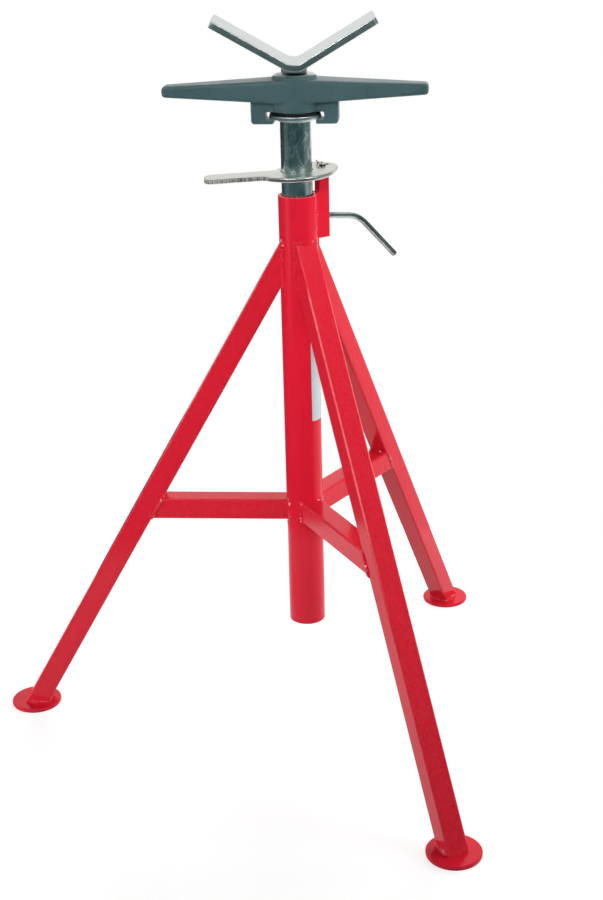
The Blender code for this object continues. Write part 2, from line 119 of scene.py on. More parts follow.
def roundEdges(piece, width, segments=2, angle=40.0):
    bevel = piece.modifiers.new("rounded", "BEVEL")
    bevel.width = width
    bevel.segments = segments
    bevel.limit_method = "ANGLE"
    bevel.angle_limit = radians(angle)
    bevel.use_clamp_overlap = True
    flatShading(piece)


def bridgeRings(bm, rings, closed=False, capped=False):
    pairs = list(zip(rings, rings[1:]))
    if closed:
        pairs.append((rings[-1], rings[0]))
    for near, far in pairs:
        for i in range(len(near)):
            j = (i + 1) % len(near)
            bm.faces.new((near[i], near[j], far[j], far[i]))
    if capped:
        bm.faces.new(rings[0])
        bm.faces.new(rings[-1])


def cornerArc(x, z, radius, start, steps):
    points = []
    for i in range(steps + 1):
        turn = radians(start + 90.0 * i / steps)
        points.append((x + radius * cos(turn), z + radius * sin(turn)))
    return points


def roundedBox(sides, levels, corner, steps):
    # the four corner arcs of a section, from its upper right corner on
    (left, right), (low, high) = sides, levels
    points = []
    for k, (x, z) in enumerate(((right, high), (left, high), (left, low), (right, low))):
        points += cornerArc(x, z, corner, 90.0 * k, steps)
    return points


def squareSection(side, corner, steps):
    half = side / 2 - corner
    return roundedBox((-half, half), (-half, half), corner, steps)


def rimProfile(radius, bottom, top, edge, steps=4):
    profile = cornerArc(radius - edge, bottom + edge, edge, -90.0, steps)
    return profile + cornerArc(radius - edge, top - edge, edge, 0.0, steps)


def ringProfile(inner, outer, bottom, top, edge, steps=4):
    profile = rimProfile(outer, bottom, top, edge, steps)
    profile += cornerArc(inner + edge, top - edge, edge, 90.0, steps)
    return profile + cornerArc(inner + edge, bottom + edge, edge, 180.0, steps)


def turnedBody(profile, segments, middle=(0.0, 0.0), hollow=True):
    # a hollow profile closes on itself, a solid one runs from lower to upper rim
    bm = bmesh.new()
    rings = []
    for radius, height in profile:
        spots = [polar(radius, 360.0 * i / segments) for i in range(segments)]
        rings.append([bm.verts.new((middle[0] + s.x, middle[1] + s.y, height)) for s in spots])
    bridgeRings(bm, rings, closed=hollow, capped=not hollow)
    return bm


packedMesh = dict(weldGap=0.00002, flatAngle=0.5)


def cadCopy(node):
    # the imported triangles, welded and with their flats joined up again
    bm = bmesh.new()
    bm.from_mesh(frame["nodes"][node].data)
    bmesh.ops.remove_doubles(bm, verts=bm.verts, dist=packedMesh["weldGap"])
    flat = radians(packedMesh["flatAngle"])
    bmesh.ops.dissolve_limit(bm, angle_limit=flat, verts=bm.verts, edges=bm.edges)
    return bm


def arcPoints(centre, radius, start, end, step=3.0):
    count = max(2, ceil(abs(end - start) / step))
    points = []
    for i in range(count + 1):
        spot = polar(radius, start + (end - start) * i / count)
        points.append((centre[0] + spot.x, centre[1] + spot.y))
    return points


def insetLoop(loop, distance):
    # moves an outline into the plate, which lies to its left
    moved = []
    for i, (x, y) in enumerate(loop):
        before = Vector((x - loop[i - 1][0], y - loop[i - 1][1])).normalized()
        after = loop[(i + 1) % len(loop)]
        after = Vector((after[0] - x, after[1] - y)).normalized()
        lean = Vector((-before.y - after.y, before.x + after.x))
        lean *= 2.0 * distance / max(1.0, lean.length_squared)
        moved.append((x + lean.x, y + lean.y))
    return moved


def roundedPlate(loops, thick, steps=4):
    # a flat plate from its outline and its holes, each with the rounding of its rim
    bm = bmesh.new()
    flats = ([], [])
    for loop, edge in loops:
        rings = []
        for way in (-1, 1):
            for i in range(steps + 1):
                turn = radians(90.0 * (i if way < 0 else steps - i) / steps)
                height = way * (thick / 2 - edge * (1.0 - cos(turn)))
                outline = insetLoop(loop, edge * (1.0 - sin(turn)))
                rings.append([bm.verts.new((x, y, height)) for x, y in outline])
        bridgeRings(bm, rings)
        for flat, ring in zip(flats, (rings[0], rings[-1])):
            flat += [bm.edges.get((ring[i - 1], ring[i])) for i in range(len(ring))]
    for flat in flats:
        bmesh.ops.triangle_fill(bm, edges=flat, use_beauty=True)
    return bm


weldBead = dict(
    step=0.0008, sides=12, ripplePitch=0.0046, rippleShare=0.12,
    lumpShare=0.55, lumpScale=120.0, seedShift=(3.1, 1.7, 0.9),
    seedStep=0.5, leastArm=0.0004, endStart=0.4, leastSteps=16,
)
allRound = [3.0 * i for i in range(120)]  # degrees, for welds round a tube


def evenLoop(points):
    lengths = [(points[(i + 1) % len(points)] - p).length for i, p in enumerate(points)]
    count = max(weldBead["leastSteps"], round(sum(lengths) / weldBead["step"]))
    gap = sum(lengths) / count
    loop, i, walked = [], 0, 0.0
    for k in range(count):
        while walked + lengths[i] < k * gap:
            walked += lengths[i]
            i += 1
        share = (k * gap - walked) / lengths[i]
        loop.append(points[i].lerp(points[(i + 1) % len(points)], share))
    return loop


def openRun(loop, away, limit):
    # the part of a closed path that stays short of the limit in one direction
    reach = [spot.dot(away) for spot in loop]
    first = reach.index(max(reach))
    ordered = loop[first:] + loop[:first]
    return [spot for spot in ordered if spot.dot(away) < limit]


def ringAround(bm, spot, side, out, size, count):
    turns = [2 * pi * k / count for k in range(count)]
    return [bm.verts.new(spot + (side * cos(t) + out * sin(t)) * size) for t in turns]


def beadBody(path, radius, seed, closed=True, lumps=weldBead["lumpShare"]):
    # a welded bead along a path of even steps, swelling with each puddle
    centre = sum(path, Vector()) / len(path)
    shift = Vector([seed * part for part in weldBead["seedShift"]])
    last = len(path) - 1
    bm = bmesh.new()
    rings = []
    for i, spot in enumerate(path):
        if closed:
            ahead = (path[(i + 1) % len(path)] - path[i - 1]).normalized()
        else:
            ahead = (path[min(i + 1, last)] - path[max(i - 1, 0)]).normalized()
        side = ahead.cross(spot - centre)
        if side.length > weldBead["leastArm"]:
            side = side.normalized()
        else:
            side = ahead.orthogonal().normalized()
        puddle = abs(sin(pi * i * weldBead["step"] / weldBead["ripplePitch"]))
        lump = noise.noise(spot * weldBead["lumpScale"] + shift)
        size = radius * (1.0 + weldBead["rippleShare"] * puddle + lumps * lump)
        if not closed:
            toEnd = (min(i, last - i) + weldBead["endStart"]) * weldBead["step"] / (2.0 * radius)
            size *= sqrt(min(1.0, toEnd))
        rings.append(ringAround(bm, spot, side, side.cross(ahead), size, weldBead["sides"]))
    bridgeRings(bm, rings, closed=closed, capped=not closed)
    return bm


# material tools

noiseSpan = (0.3, 0.7)  # where most of a noise field lies


def startMaterial(name):
    made = bpy.data.materials.new(name)
    made.use_nodes = True
    tree = made.node_tree
    return made, tree, tree.nodes["Principled BSDF"]


def plug(tree, node, sockets):
    # links another node's output and sets a plain value
    for key, value in sockets.items():
        if isinstance(value, bpy.types.NodeSocket):
            tree.links.new(value, node.inputs[key])
        else:
            node.inputs[key].default_value = value


def addNode(tree, kind, sockets=None, **settings):
    node = tree.nodes.new("ShaderNode" + kind)
    for key, value in settings.items():
        setattr(node, key, value)
    plug(tree, node, sockets or {})
    return node


def pieceCoords(tree, stretch=None):
    coords = addNode(tree, "TexCoord").outputs["Object"]
    if stretch is None:
        return coords
    return addNode(tree, "Mapping", {"Vector": coords, "Scale": stretch}).outputs["Vector"]


def axisOf(tree, vector, axis):
    return addNode(tree, "SeparateXYZ", {"Vector": vector}).outputs[axis]


def noiseField(tree, coords, scale, detail=4.0, rough=0.55, distortion=0.0):
    sockets = {"Vector": coords, "Scale": scale, "Detail": detail,
               "Roughness": rough, "Distortion": distortion}
    return addNode(tree, "TexNoise", sockets).outputs["Fac"]


def remap(tree, source, span=noiseSpan, result=(0.0, 1.0)):
    sockets = {"Value": source, "From Min": span[0], "From Max": span[1],
               "To Min": result[0], "To Max": result[1]}
    return addNode(tree, "MapRange", sockets).outputs["Result"]


def combine(tree, operation, a, b=0.0):
    return addNode(tree, "Math", {0: a, 1: b}, operation=operation).outputs["Value"]


def times(tree, a, b):
    return combine(tree, "MULTIPLY", a, b)


def mixColour(tree, factor, first, second):
    first, second = ((*c, 1.0) if isinstance(c, tuple) else c for c in (first, second))
    sockets = {"Factor": factor, 6: first, 7: second}  # 6 and 7 are the colour sockets
    return addNode(tree, "Mix", sockets, data_type="RGBA").outputs[2]


def bumpFrom(tree, height, distance, strength=1.0):
    sockets = {"Height": height, "Distance": distance, "Strength": strength}
    return addNode(tree, "Bump", sockets).outputs["Normal"]


def geometryOf(tree, output):
    return addNode(tree, "NewGeometry").outputs[output]


def edgeMask(tree, span):
    return remap(tree, geometryOf(tree, "Pointiness"), span)


def upFacing(tree, span):
    return remap(tree, axisOf(tree, geometryOf(tree, "Normal"), "Z"), span)


# finishes

redCoatLook = dict(
    deep=(0.625, 0.0105, 0.0290), bright=(0.655, 0.0120, 0.0330), cloudScale=5.0,
    # the paler red for sharp edges is worn thin paint and a painted sheen
    wornEdgeSheen=(0.720, 0.050, 0.060), speckScale=260.0, edgeFrom=(0.53, 0.62),
    edgeSpeck=(0.35, 0.75), edgeShare=(0.1, 0.6),
    # the corner colour is a pale painted highlight: lines along the outer leg corners, rising from low on
    # the leg and stopping short of the tube
    corner=(0.830, 0.170, 0.180), highlightRise=(0.22, 0.34), highlightCut=(0.533, 0.546),
    highlightSpeck=(0.30, 0.60), highlightSpeckShare=(0.6, 1.0), frontHighlightShare=0.85, legHighlightShare=0.20,
    # the chip colour is a pale painted glint on the weld crests, kept to the heights given, not chipped
    # paint
    chip=(0.90, 0.46, 0.43), chipScale=240.0, chipFrom=(0.60, 0.66), chipShare=0.9,
    paintedGlintAbove=(0.572, 0.580), paintedGlintBelow=(0.33, 0.36),
    bareSteel=(0.46, 0.46, 0.43), bareMetal=0.25, bareRagged=0.003, bareBlend=0.001,
    # the tube rim height is where a pale painted highlight starts; the post's tongue above its height is
    # bare steel
    tubeRimHighlight=0.0009, postTongue=0.0105,
    satinScale=14.0, roughness=(0.110, 0.140), peelScale=620.0, peelHeight=0.00003,
    specular=0.19, weldGloss=0.45, glossRoughness=0.06,
)


def redCoat(name, bareAbove=None, cornerHighlight=None, gloss=0.0, bareLook="bareSteel"):
    # bare above one height (bare steel on the post's tongue, a pale painted highlight on the tube's rim), a
    # painted highlight line on the leg corners, or glossy with pale painted glints on the welds, if asked
    look = redCoatLook
    made, tree, shader = startMaterial(name)
    coords = pieceCoords(tree)
    height = axisOf(tree, coords, "Z")
    cloud = noiseField(tree, coords, look["cloudScale"], detail=3.0)
    colour = mixColour(tree, remap(tree, cloud), look["deep"], look["bright"])
    speck = noiseField(tree, coords, look["speckScale"], detail=2.0)
    # sharp edges turn paler: worn thin paint and a painted sheen
    edge = remap(tree, speck, look["edgeSpeck"], look["edgeShare"])
    edge = times(tree, edgeMask(tree, look["edgeFrom"]), edge)
    colour = mixColour(tree, edge, colour, look["wornEdgeSheen"])
    # a painted highlight line on the outer leg corners, fading in low on the leg and cut off near the top
    if cornerHighlight is not None:
        upper = times(tree, remap(tree, height, look["highlightRise"], (0.0, cornerHighlight)),
                      remap(tree, height, look["highlightCut"], (1.0, 0.0)))
        speckled = remap(tree, speck, look["highlightSpeck"], look["highlightSpeckShare"])
        colour = mixColour(tree, times(tree, upper, speckled), colour, look["corner"])
    # pale painted glints on the glossy welds, only above and below the heights given
    if gloss:
        chip = noiseField(tree, coords, look["chipScale"], detail=2.0)
        share = look["chipShare"]
        where = combine(tree, "ADD", remap(tree, height, look["paintedGlintAbove"], (0.0, share)),
                        remap(tree, height, look["paintedGlintBelow"], (share, 0.0)))
        spots = times(tree, where, remap(tree, chip, look["chipFrom"]))
        colour = mixColour(tree, spots, colour, look["chip"])
    # above one height: bare steel on the post's tongue, and on the tube's rim a pale painted highlight
    if bareAbove is not None:
        ragged = combine(tree, "ADD", height, times(tree, speck, look["bareRagged"]))
        bare = remap(tree, ragged, (bareAbove, bareAbove + look["bareBlend"]))
        colour = mixColour(tree, bare, colour, look[bareLook])
        plug(tree, shader, {"Metallic": times(tree, bare, look["bareMetal"])})
    satin = noiseField(tree, coords, look["satinScale"], detail=2.0)
    peel = noiseField(tree, coords, look["peelScale"], detail=2.0, rough=0.4)
    plug(tree, shader, {
        "Base Color": colour,
        "Roughness": remap(tree, satin, noiseSpan, look["roughness"]),
        "Normal": bumpFrom(tree, peel, look["peelHeight"]),
        "Specular IOR Level": look["specular"],
        "Coat Weight": gloss,
        "Coat Roughness": look["glossRoughness"],
    })
    return made


plateFinish = dict(cloudFrom=(0.35, 0.65), rubHaze=0.25, cloudBump=0.6)


def platedSteel(name, look):
    # zinc plate: cloudy tint, drawn streaks, light rub marks
    made, tree, shader = startMaterial(name)
    coords = pieceCoords(tree)
    cloud = noiseField(tree, coords, look["cloudScale"], detail=5.0, rough=0.6, distortion=0.6)
    colour = mixColour(tree, remap(tree, cloud, plateFinish["cloudFrom"]), look["dark"], look["light"])
    streak = noiseField(tree, pieceCoords(tree, look["streakStretch"]), look["streakScale"], rough=0.6)
    grain = remap(tree, streak, noiseSpan, (0.0, look["streakShare"]))
    colour = mixColour(tree, grain, colour, look["streak"])
    rub = noiseField(tree, coords, look["rubScale"], detail=3.0, rough=0.5, distortion=2.5)
    ridge = combine(tree, "ABSOLUTE", combine(tree, "SUBTRACT", rub, 0.5))
    mark = remap(tree, ridge, (0.0, look["rubWidth"]), (look["rubShare"], 0.0))
    colour = mixColour(tree, mark, colour, look["rub"])
    metal = 1.0
    if "shearDark" in look:
        # cut edges of a plate: pale and dark bars, duller than the faces
        facing = combine(tree, "ABSOLUTE", axisOf(tree, geometryOf(tree, "Normal"), "Z"))
        end = look["shearEnd"]
        onHandle = remap(tree, axisOf(tree, coords, "X"), (end - look["shearBlend"], end), (1.0, 0.0))
        cut = times(tree, remap(tree, facing, look["shearFacing"], (1.0, 0.0)), onHandle)
        bars = noiseField(tree, pieceCoords(tree, look["barStretch"]), look["barScale"], detail=3.0)
        bars = remap(tree, bars, look["barFrom"])
        colour = mixColour(tree, cut, colour, mixColour(tree, bars, look["shearDark"], look["shearLight"]))
        metal = remap(tree, cut, (0.0, 1.0), (1.0, look["shearMetal"]))
    haze = remap(tree, mark, (0.0, 1.0), (0.0, plateFinish["rubHaze"]))
    height = combine(tree, "ADD", streak, times(tree, cloud, plateFinish["cloudBump"]))
    plug(tree, shader, {
        "Base Color": colour,
        "Metallic": metal,
        "Roughness": combine(tree, "ADD", remap(tree, cloud, noiseSpan, look["roughness"]), haze),
        "Normal": bumpFrom(tree, height, look["bumpHeight"]),
    })
    return made


slidingTubeLook = dict(
    dark=(0.36, 0.46, 0.46), light=(0.76, 0.86, 0.86), cloudScale=24.0,
    streak=(0.76, 0.84, 0.84), streakStretch=(1.0, 1.0, 0.05), streakScale=260.0, streakShare=0.35,
    rub=(0.86, 0.96, 0.94), rubScale=17.0, rubWidth=0.030, rubShare=0.65,
    roughness=(0.13, 0.26), bumpHeight=0.00003,
)
flangeLook = dict(
    dark=(0.58, 0.64, 0.64), light=(0.80, 0.85, 0.85), cloudScale=45.0,
    streak=(0.88, 0.90, 0.90), streakStretch=(1.0, 1.0, 0.3), streakScale=240.0, streakShare=0.4,
    rub=(0.90, 0.94, 0.93), rubScale=40.0, rubWidth=0.02, rubShare=0.5,
    roughness=(0.30, 0.42), bumpHeight=0.00003,
)
leverLook = dict(
    dark=(0.64, 0.64, 0.58), light=(0.76, 0.755, 0.69), cloudScale=30.0,
    streak=(0.60, 0.60, 0.57), streakStretch=(1.0, 1.0, 0.04), streakScale=900.0, streakShare=0.55,
    rub=(0.90, 0.90, 0.88), rubScale=45.0, rubWidth=0.02, rubShare=0.4,
    roughness=(0.26, 0.42), bumpHeight=0.00008,
    shearDark=(0.13, 0.13, 0.12), shearLight=(0.52, 0.51, 0.48), shearMetal=0.40,
    shearEnd=-0.030, shearBlend=0.004, shearFacing=(0.55, 0.85),
    barStretch=(1.0, 1.0, 0.03), barScale=560.0, barFrom=(0.4, 0.6),
)
saddleLook = dict(
    dark=(0.60, 0.65, 0.64), light=(0.70, 0.74, 0.72), cloudScale=26.0,
    streak=(0.62, 0.65, 0.64), streakStretch=(1.0, 0.08, 1.0), streakScale=420.0, streakShare=0.5,
    rub=(0.90, 0.90, 0.90), rubScale=40.0, rubWidth=0.015, rubShare=0.4,
    roughness=(0.24, 0.40), bumpHeight=0.00005,
)
clampLook = dict(
    dark=(0.24, 0.28, 0.28), light=(0.50, 0.54, 0.53), cloudScale=60.0,
    streak=(0.38, 0.40, 0.40), streakStretch=(1.0, 1.0, 1.0), streakScale=300.0, streakShare=0.4,
    rub=(0.86, 0.88, 0.86), rubScale=60.0, rubWidth=0.012, rubShare=0.35,
    roughness=(0.09, 0.18), bumpHeight=0.00002,
)
screwLook = dict(
    dark=(0.36, 0.38, 0.39), light=(0.56, 0.58, 0.58), cloudScale=40.0,
    streak=(0.66, 0.68, 0.68), streakStretch=(0.1, 0.1, 1.0), streakScale=900.0, streakShare=0.4,
    rub=(0.70, 0.72, 0.72), rubScale=60.0, rubWidth=0.02, rubShare=0.3,
    roughness=(0.24, 0.40), bumpHeight=0.00004,
)
greasyLook = dict(
    dark=(0.020, 0.024, 0.026), light=(0.055, 0.062, 0.064), cloudScale=60.0,
    streak=(0.080, 0.086, 0.088), streakStretch=(0.2, 0.2, 1.0), streakScale=700.0, streakShare=0.3,
    rub=(0.16, 0.17, 0.17), rubScale=80.0, rubWidth=0.02, rubShare=0.3,
    roughness=(0.30, 0.45), bumpHeight=0.00004,
)
castLook = dict(
    base=(0.046, 0.090, 0.098), pale=(0.060, 0.112, 0.120), cloudScale=24.0,
    # paler colour for upward faces: dust, and a painted sheen on the wing tops
    dustAndSheen=(0.185, 0.235, 0.235), dustAndSheenFrom=(0.72, 1.10),
    edge=(0.240, 0.310, 0.310), edgeFrom=(0.51, 0.57),
    chipScale=160.0, chipFrom=(0.35, 0.65), chipShare=(0.2, 0.9),
    turned=(0.74, 0.76, 0.75), turnedFrom=(-0.0014, -0.0009), turnedFacing=(0.45, 0.65),
    sandScale=420.0, sandHeight=0.00009, sandStrength=0.6,
    roughness=(0.28, 0.38), specular=0.12,
)


def castCoat(look):
    made, tree, shader = startMaterial("greyGreenCasting")
    coords = pieceCoords(tree)
    cloud = noiseField(tree, coords, look["cloudScale"])
    colour = mixColour(tree, remap(tree, cloud), look["base"], look["pale"])
    # upward faces paler: dust and a painted sheen
    colour = mixColour(tree, upFacing(tree, look["dustAndSheenFrom"]), colour, look["dustAndSheen"])
    chip = remap(tree, noiseField(tree, coords, look["chipScale"]), look["chipFrom"], look["chipShare"])
    worn = times(tree, edgeMask(tree, look["edgeFrom"]), chip)
    colour = mixColour(tree, worn, colour, look["edge"])
    # the hub's top is a turned steel face
    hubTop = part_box("turn_handle")[1].z
    upper = remap(tree, axisOf(tree, coords, "Z"), [hubTop + step for step in look["turnedFrom"]])
    turned = times(tree, upper, upFacing(tree, look["turnedFacing"]))
    sand = noiseField(tree, coords, look["sandScale"], detail=3.0, rough=0.6)
    plug(tree, shader, {
        "Base Color": mixColour(tree, turned, colour, look["turned"]),
        "Metallic": turned,
        "Roughness": remap(tree, cloud, noiseSpan, look["roughness"]),
        "Normal": bumpFrom(tree, sand, look["sandHeight"], look["sandStrength"]),
        "Specular IOR Level": look["specular"],
    })
    return made


labelLook = dict(
    paper=(0.52, 0.56, 0.57), tint=(0.44, 0.50, 0.52),
    borderPaper=(0.34, 0.56, 0.58), borderTint=(0.28, 0.48, 0.50),
    ageScale=18.0, ageFrom=(0.35, 0.7), fibreScale=500.0, fibreHeight=0.00003, roughness=0.35,
)


def labelPaper(name, paper, tint):
    made, tree, shader = startMaterial(name)
    coords = pieceCoords(tree)
    age = noiseField(tree, coords, labelLook["ageScale"], detail=3.0)
    fibre = noiseField(tree, coords, labelLook["fibreScale"], detail=2.0)
    plug(tree, shader, {
        "Base Color": mixColour(tree, remap(tree, age, labelLook["ageFrom"]), paper, tint),
        "Normal": bumpFrom(tree, fibre, labelLook["fibreHeight"]),
        "Roughness": labelLook["roughness"],
    })
    return made


redPaint = redCoat("redPowderCoat")
weldPaint = redCoat("redWeldCoat", gloss=redCoatLook["weldGloss"])
# the base tube's coat, with a pale painted highlight along its top rim
tubeCoatRimHighlight = redCoat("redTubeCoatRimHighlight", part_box("main_tube")[1].z + redCoatLook["tubeRimHighlight"], bareLook="corner")
# leg coats with painted highlight lines on their corners, strongest on the front leg
frontCornerHighlight = redCoat("redFrontCornerHighlight", cornerHighlight=redCoatLook["frontHighlightShare"])
legCornerHighlight = redCoat("redLegCornerHighlight", cornerHighlight=redCoatLook["legHighlightShare"])
postPaint = redCoat("redPostCoat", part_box("lock_post")[1].z - redCoatLook["postTongue"])
tubeZinc = platedSteel("slidingTubeZinc", slidingTubeLook)
flangeZinc = platedSteel("flangeZinc", flangeLook)
leverZinc = platedSteel("lockLeverZinc", leverLook)
saddleZinc = platedSteel("saddleZinc", saddleLook)
clampZinc = platedSteel("clampRodZinc", clampLook)
screwSteel = platedSteel("jackScrewSteel", screwLook)
greasySteel = platedSteel("greasySteel", greasyLook)
castPaint = castCoat(castLook)
labelVinyl = labelPaper("blankLabel", labelLook["paper"], labelLook["tint"])
labelBorder = labelPaper("labelBorder", labelLook["borderPaper"], labelLook["borderTint"])
print("finishes made")


# base tube, legs, braces and feet

tubeLow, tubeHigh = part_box("main_tube")
footLow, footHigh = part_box("foot_left")
braceLow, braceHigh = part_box("brace_left")
tubeRadius = tubeHigh.x
footRadius = (footHigh.x - footLow.x) / 2
barSide = braceHigh.z - braceLow.z
braceHeight = (braceHigh.z + braceLow.z) / 2

baseTube = dict(wall=0.0032, rim=0.0010, segments=128)


def makeBaseTube():
    profile = ringProfile(tubeRadius - baseTube["wall"], tubeRadius, tubeLow.z, tubeHigh.z, baseTube["rim"])
    piece = addPiece("baseTube", turnedBody(profile, baseTube["segments"]), "base", tubeCoatRimHighlight)
    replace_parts(piece, "main_tube")
    flatShading(piece)


legBar = dict(
    apexHeight=0.596, corner=0.0021, cornerSteps=6,
    tubeBead=0.0026, tubeBeadIn=0.0008, tubeBeadDown=0.0004,
    footBead=0.0031, footBeadIn=0.06, footBeadRise=0.0004, weldReach=0.0105, seed=10.0,
)
braceBar = dict(
    corner=0.0021, cornerSteps=6, tubeBead=0.0021, legBead=0.0018, beadSink=0.0006,
    lineStart=0.2, seed=20.0,
)
footPlate = dict(edge=0.0016, segments=96)
legSides = ("left", "back", "front")


def hitTube(start, ahead):
    # how far along a line the tube's outside is
    a = ahead.x ** 2 + ahead.y ** 2
    b = start.x * ahead.x + start.y * ahead.y
    c = start.x ** 2 + start.y ** 2 - tubeRadius ** 2
    return (-b - sqrt(b * b - a * c)) / a


def loftBar(name, ends, corner=None):
    bm = bmesh.new()
    bridgeRings(bm, [[bm.verts.new(spot) for spot in end] for end in ends], capped=True)
    piece = addPiece(name, bm, "base", redPaint)
    flatShading(piece)
    if corner is not None:
        # the two outer corners come first and last round the section
        # the outer corner faces take the coat with the painted highlight line
        piece.data.materials.append(corner)
        steps = legBar["cornerSteps"]
        for first in (0, 3 * (steps + 1)):
            for i in range(first + 1, first + steps - 1):
                piece.data.polygons[i].material_index = 1
    return piece


def addWeld(name, path, radius, seed, closed=True):
    addPiece(name, beadBody(path, radius, seed, closed), "base", weldPaint, smoothAll)


def makeFoot(side, foot):
    rim = rimProfile(footRadius, 0.0, footHigh.z, footPlate["edge"])
    plate = turnedBody(rim, footPlate["segments"], foot, hollow=False)
    disc = addPiece("footPlate" + side.capitalize(), plate, "base", redPaint)
    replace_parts(disc, "foot_" + side)
    flatShading(disc)


def makeLeg(side, seed):
    foot = mountPlace["foot_%s_base" % side]
    outward = Vector((foot.x, foot.y, 0.0)).normalized()
    across = Vector((-outward.y, outward.x, 0.0))
    upLeg = (upBy(legBar["apexHeight"]) - foot).normalized()
    face = across.cross(upLeg)
    low, high = [], []
    for u, v in squareSection(barSide, legBar["corner"], legBar["cornerSteps"]):
        start = foot + face * u + across * v
        low.append(start + upLeg * ((footHigh.z - start.z) / upLeg.z))
        high.append(start + upLeg * hitTube(start, upLeg))
    title = side.capitalize()
    # painted highlight lines on the outer corners, strongest on the front leg
    corner = frontCornerHighlight if side == "front" else legCornerHighlight
    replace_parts(loftBar("legBar" + title, (low, high), corner), "leg_" + side)
    sunk = [spot - outward * legBar["tubeBeadIn"] - upLeg * legBar["tubeBeadDown"] for spot in high]
    addWeld("legTubeWeld" + title, evenLoop(sunk), legBar["tubeBead"], seed)
    base = sum(low, Vector()) / len(low)
    sunk = [spot.lerp(base, legBar["footBeadIn"]) + upBy(legBar["footBeadRise"]) for spot in low]
    run = openRun(evenLoop(sunk), outward, base.dot(outward) + legBar["weldReach"])
    addWeld("legFootWeld" + title, run, legBar["footBead"], seed + weldBead["seedStep"], closed=False)
    makeFoot(side, foot)
    return foot, outward, across, face


def makeBrace(side, seed, leg):
    foot, outward, across, face = leg
    inner = foot - face * (barSide / 2)
    near, far = [], []
    for u, v in squareSection(barSide, braceBar["corner"], braceBar["cornerSteps"]):
        line = across * v + upBy(braceHeight + u)
        far.append(line + outward * ((inner - line).dot(face) / outward.dot(face)))
        start = line + outward * braceBar["lineStart"]
        near.append(start - outward * hitTube(start, -outward))
    title = side.capitalize()
    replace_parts(loftBar("braceBar" + title, (near, far)), "brace_" + side)
    sink = outward * braceBar["beadSink"]
    inPath, outPath = [spot - sink for spot in near], [spot + sink for spot in far]
    addWeld("braceTubeWeld" + title, evenLoop(inPath), braceBar["tubeBead"], seed)
    addWeld("braceLegWeld" + title, evenLoop(outPath), braceBar["legBead"], seed + weldBead["seedStep"])


makeBaseTube()
for number, legSide in enumerate(legSides):
    makeBrace(legSide, braceBar["seed"] + number, makeLeg(legSide, legBar["seed"] + number))
print("tripod made")


# lock post, lever, split pin and clamp rod

lockAxis = Vector(jointOf["clamp_turn"]["axis"])
lockAcross = Vector((-lockAxis.y, lockAxis.x, 0.0))
clampHeight = jointOf["clamp_turn"]["pos_m"][2]
lockPost = dict(
    edge=0.0007, half=0.0049, bead=0.0021, beadEnds=0.004, beadSink=0.0002,
    footBead=0.0026, footRise=0.0006, footOut=0.0004, seed=51.0, footSeed=57.0,
)
lockLever = dict(
    thick=0.005, edge=0.0018, holeEdge=0.0005, droop=2.3,
    hole=0.01765, disc=0.04105, web=0.006, crest=100.0,
    angle=183.0, reach=0.1005, near=0.021, far=0.008, fillet=0.014, corner=0.009,
    earReach=0.008, earRadius=0.024, slotIn=0.0265, slotOut=0.0418, slotHalf=0.0030,
)


def makeLockPost():
    piece = addPiece("lockPostBar", cadCopy("lock_post"), "base", postPaint)
    roundEdges(piece, lockPost["edge"])
    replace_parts(piece, "lock_post")
    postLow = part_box("lock_post")[0]
    start, end = postLow.z + lockPost["beadEnds"], tubeHigh.z - lockPost["beadEnds"]
    count = round((end - start) / weldBead["step"])
    for way, title in ((-1, "Near"), (1, "Far")):
        edge = lockAxis * (tubeRadius - lockPost["beadSink"]) + lockAcross * (way * lockPost["half"])
        run = [edge + upBy(start + (end - start) * i / count) for i in range(count + 1)]
        addWeld("postWeld" + title, run, lockPost["bead"], lockPost["seed"] + way, closed=False)
    # a fillet under the post's foot closes the corner with the tube
    count = round(2 * lockPost["half"] / weldBead["step"])
    run = []
    for i in range(count + 1):
        turn = (i / count - 0.5) * 2 * lockPost["half"] / tubeRadius
        spot = Matrix.Rotation(turn, 3, "Z") @ lockAxis * (tubeRadius + lockPost["footOut"])
        run.append(spot + upBy(postLow.z + lockPost["footRise"]))
    addWeld("postWeldFoot", run, lockPost["footBead"], lockPost["footSeed"], closed=False)


def leverOutline():
    # disc with an ear over the post at 0 degrees and a handle off to the side
    postTurn = degrees(atan2(lockAxis.y, lockAxis.x))
    handle = lockLever["angle"] - postTurn
    disc, corner, fillet = (lockLever[key] for key in ("disc", "corner", "fillet"))

    def beside(along, across):
        spot = polar(along, handle) + polar(across, handle + 90.0)
        return spot.x, spot.y

    ear = disc + lockLever["earReach"] - lockLever["earRadius"]
    swing = degrees(acos((disc - lockLever["earRadius"]) / ear))
    blend = degrees(asin((lockLever["near"] + fillet) / (disc + fillet)))
    points = arcPoints((ear, 0.0), lockLever["earRadius"], -swing, swing)
    points += arcPoints((0.0, 0.0), disc, swing, lockLever["crest"] - postTurn)[1:]
    points.append(beside(lockLever["hole"] + lockLever["web"], -lockLever["far"]))
    end = lockLever["reach"] - corner
    points += arcPoints(beside(end, corner - lockLever["far"]), corner, handle - 90.0, handle)
    points += arcPoints(beside(end, lockLever["near"] - corner), corner, handle, handle + 90.0)[1:]
    hollow = polar(disc + fillet, handle + blend)
    points += arcPoints(hollow, fillet, handle + 270.0, handle + blend + 180.0)
    points += arcPoints((0.0, 0.0), disc, handle + blend, 360.0 - swing)[1:-1]
    return points


